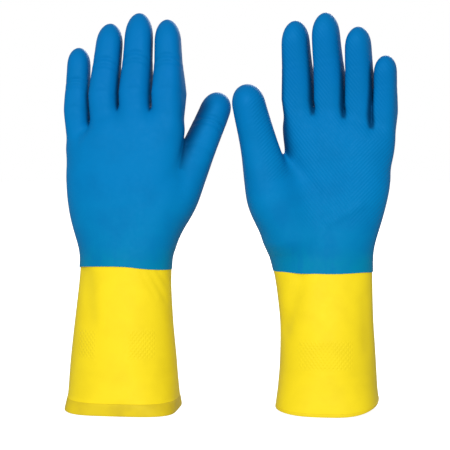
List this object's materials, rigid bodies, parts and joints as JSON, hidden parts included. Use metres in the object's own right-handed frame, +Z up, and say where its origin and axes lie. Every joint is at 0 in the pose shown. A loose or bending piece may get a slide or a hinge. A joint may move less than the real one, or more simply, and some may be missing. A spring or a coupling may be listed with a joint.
{
  "type": "insulating rubber gloves",
  "caption": "Long rubber insulating gloves, blue dipped hand over a yellow flared cuff, shown back and palm; fingers, thumb and wrist flex.",
  "frame": {"origin": "middle of the pair's bounding box, on the floor that the cuff rims stand on", "axes": "+Z up towards the fingertips, +X from the glove that shows its back to the one that shows its palm, -Y towards the viewer"},
  "size_m": [0.2654, 0.0832, 0.3139],
  "materials": {
    "blue_dip": "satin dipped neoprene rubber, grip ribs on the palm side",
    "yellow_liner": "matt latex under the dip, flocked inside",
    "yellow_cuff": "satin latex, fine knurled bands",
    "yellow_hem": "satin latex, turned and thicker",
    "cream_flock": "short cotton flock"
  },
  "bodies": {
    "left_cuff": {"left_cuff_sleeve": "yellow_cuff", "left_cuff_hem": "yellow_hem", "left_cuff_lining": "cream_flock"},
    "left_hand": {"left_hand_dip": "blue_dip", "left_hand_liner": "yellow_liner"},
    "left_index_base": {"left_index_base_dip": "blue_dip", "left_index_base_liner": "yellow_liner"},
    "left_index_tip": {"left_index_tip_dip": "blue_dip", "left_index_tip_liner": "yellow_liner"},
    "left_middle_base": {"left_middle_base_dip": "blue_dip", "left_middle_base_liner": "yellow_liner"},
    "left_middle_tip": {"left_middle_tip_dip": "blue_dip", "left_middle_tip_liner": "yellow_liner"},
    "left_ring_base": {"left_ring_base_dip": "blue_dip", "left_ring_base_liner": "yellow_liner"},
    "left_ring_tip": {"left_ring_tip_dip": "blue_dip", "left_ring_tip_liner": "yellow_liner"},
    "left_little_base": {"left_little_base_dip": "blue_dip", "left_little_base_liner": "yellow_liner"},
    "left_little_tip": {"left_little_tip_dip": "blue_dip", "left_little_tip_liner": "yellow_liner"},
    "left_thumb_base": {"left_thumb_base_dip": "blue_dip", "left_thumb_base_liner": "yellow_liner"},
    "left_thumb_tip": {"left_thumb_tip_dip": "blue_dip", "left_thumb_tip_liner": "yellow_liner"},
    "right_cuff": {"right_cuff_sleeve": "yellow_cuff", "right_cuff_hem": "yellow_hem", "right_cuff_lining": "cream_flock"},
    "right_hand": {"right_hand_dip": "blue_dip", "right_hand_liner": "yellow_liner"},
    "right_index_base": {"right_index_base_dip": "blue_dip", "right_index_base_liner": "yellow_liner"},
    "right_index_tip": {"right_index_tip_dip": "blue_dip", "right_index_tip_liner": "yellow_liner"},
    "right_middle_base": {"right_middle_base_dip": "blue_dip", "right_middle_base_liner": "yellow_liner"},
    "right_middle_tip": {"right_middle_tip_dip": "blue_dip", "right_middle_tip_liner": "yellow_liner"},
    "right_ring_base": {"right_ring_base_dip": "blue_dip", "right_ring_base_liner": "yellow_liner"},
    "right_ring_tip": {"right_ring_tip_dip": "blue_dip", "right_ring_tip_liner": "yellow_liner"},
    "right_little_base": {"right_little_base_dip": "blue_dip", "right_little_base_liner": "yellow_liner"},
    "right_little_tip": {"right_little_tip_dip": "blue_dip", "right_little_tip_liner": "yellow_liner"},
    "right_thumb_base": {"right_thumb_base_dip": "blue_dip", "right_thumb_base_liner": "yellow_liner"},
    "right_thumb_tip": {"right_thumb_tip_dip": "blue_dip", "right_thumb_tip_liner": "yellow_liner"}
  },
  "joints": [
    {"name": "right_glove_apart", "type": "slide", "parent": "left_cuff", "child": "right_cuff", "axis": [1, 0, 0], "range_m": [0, 0.1]},
    {"name": "left_wrist", "type": "hinge", "parent": "left_cuff", "child": "left_hand", "pos_m": [-0.08367, -0.00034, 0.111], "axis": [-0.9903, 0.1392, 0], "range_deg": [-35, 35], "stiffness_Nm_per_rad": 0.3},
    {"name": "left_index_knuckle", "type": "hinge", "parent": "left_hand", "child": "left_index_base", "pos_m": [-0.04999, -0.00457, 0.25], "axis": [-0.99, 0.1391, 0.0231], "range_deg": [-12, 70], "stiffness_Nm_per_rad": 0.02},
    {"name": "left_index_middle", "type": "hinge", "parent": "left_index_base", "child": "left_index_tip", "pos_m": [-0.05036, -0.00149, 0.2775], "axis": [-0.9895, 0.1391, -0.0385], "range_deg": [-8, 80], "stiffness_Nm_per_rad": 0.012},
    {"name": "left_middle_knuckle", "type": "hinge", "parent": "left_hand", "child": "left_middle_base", "pos_m": [-0.07633, -0.00087, 0.2495], "axis": [-0.9903, 0.1392, 0.0057], "range_deg": [-12, 70], "stiffness_Nm_per_rad": 0.02},
    {"name": "left_middle_middle", "type": "hinge", "parent": "left_middle_base", "child": "left_middle_tip", "pos_m": [-0.07472, 0.00194, 0.2795], "axis": [-0.9899, 0.1391, 0.0285], "range_deg": [-8, 80], "stiffness_Nm_per_rad": 0.012},
    {"name": "left_ring_knuckle", "type": "hinge", "parent": "left_hand", "child": "left_ring_base", "pos_m": [-0.10088, 0.00258, 0.2475], "axis": [-0.9901, 0.1391, -0.019], "range_deg": [-12, 70], "stiffness_Nm_per_rad": 0.02},
    {"name": "left_ring_middle", "type": "hinge", "parent": "left_ring_base", "child": "left_ring_tip", "pos_m": [-0.09928, 0.00539, 0.275], "axis": [-0.9881, 0.1389, 0.066], "range_deg": [-8, 80], "stiffness_Nm_per_rad": 0.012},
    {"name": "left_little_knuckle", "type": "hinge", "parent": "left_hand", "child": "left_little_base", "pos_m": [-0.12297, 0.00569, 0.236], "axis": [-0.9895, 0.1391, -0.0397], "range_deg": [-12, 70], "stiffness_Nm_per_rad": 0.02},
    {"name": "left_little_middle", "type": "hinge", "parent": "left_little_base", "child": "left_little_tip", "pos_m": [-0.12232, 0.00812, 0.259], "axis": [-0.9901, 0.1391, 0.0186], "range_deg": [-8, 80], "stiffness_Nm_per_rad": 0.012},
    {"name": "left_thumb_knuckle", "type": "hinge", "parent": "left_hand", "child": "left_thumb_base", "pos_m": [-0.02377, 0.00235, 0.2064], "axis": [-0.9191, -0.0321, 0.3928], "range_deg": [-8, 35], "stiffness_Nm_per_rad": 0.03},
    {"name": "left_thumb_middle", "type": "hinge", "parent": "left_thumb_base", "child": "left_thumb_tip", "pos_m": [-0.01622, 0.00432, 0.2304], "axis": [-0.9496, -0.0332, 0.3116], "range_deg": [-8, 55], "stiffness_Nm_per_rad": 0.015},
    {"name": "right_wrist", "type": "hinge", "parent": "right_cuff", "child": "right_hand", "pos_m": [0.07413, 0.00044, 0.106], "axis": [0.9903, -0.1392, 0], "range_deg": [-35, 35], "stiffness_Nm_per_rad": 0.3},
    {"name": "right_index_knuckle", "type": "hinge", "parent": "right_hand", "child": "right_index_base", "pos_m": [0.05366, 0.00282, 0.247], "axis": [0.99, -0.1391, 0.0246], "range_deg": [-12, 70], "stiffness_Nm_per_rad": 0.02},
    {"name": "right_index_middle", "type": "hinge", "parent": "right_index_base", "child": "right_index_tip", "pos_m": [0.05285, -0.0001, 0.275], "axis": [0.99, -0.1391, 0.0232], "range_deg": [-8, 80], "stiffness_Nm_per_rad": 0.012},
    {"name": "right_middle_knuckle", "type": "hinge", "parent": "right_hand", "child": "right_middle_base", "pos_m": [0.07901, -0.00075, 0.247], "axis": [0.9901, -0.1391, -0.0168], "range_deg": [-12, 70], "stiffness_Nm_per_rad": 0.02},
    {"name": "right_middle_middle", "type": "hinge", "parent": "right_middle_base", "child": "right_middle_tip", "pos_m": [0.078, -0.00363, 0.278], "axis": [0.9898, -0.1391, 0.0305], "range_deg": [-8, 80], "stiffness_Nm_per_rad": 0.012},
    {"name": "right_ring_knuckle", "type": "hinge", "parent": "right_hand", "child": "right_ring_base", "pos_m": [0.10258, -0.00406, 0.243], "axis": [0.9876, -0.1388, -0.0735], "range_deg": [-12, 70], "stiffness_Nm_per_rad": 0.02},
    {"name": "right_ring_middle", "type": "hinge", "parent": "right_ring_base", "child": "right_ring_tip", "pos_m": [0.10256, -0.00708, 0.272], "axis": [0.9902, -0.1392, 0.0074], "range_deg": [-8, 80], "stiffness_Nm_per_rad": 0.012},
    {"name": "right_little_knuckle", "type": "hinge", "parent": "right_hand", "child": "right_little_base", "pos_m": [0.12338, -0.00698, 0.235], "axis": [0.9855, -0.1385, -0.098], "range_deg": [-12, 70], "stiffness_Nm_per_rad": 0.02},
    {"name": "right_little_middle", "type": "hinge", "parent": "right_little_base", "child": "right_little_tip", "pos_m": [0.12362, -0.00954, 0.257], "axis": [0.99, -0.1391, -0.0213], "range_deg": [-8, 80], "stiffness_Nm_per_rad": 0.012},
    {"name": "right_thumb_knuckle", "type": "hinge", "parent": "right_hand", "child": "right_thumb_base", "pos_m": [0.02196, -0.00434, 0.207], "axis": [0.9723, 0.034, 0.2313], "range_deg": [-8, 35], "stiffness_Nm_per_rad": 0.03},
    {"name": "right_thumb_middle", "type": "hinge", "parent": "right_thumb_base", "child": "right_thumb_tip", "pos_m": [0.01778, -0.00678, 0.231], "axis": [0.9812, 0.0343, 0.19], "range_deg": [-8, 55], "stiffness_Nm_per_rad": 0.015}
  ]
}
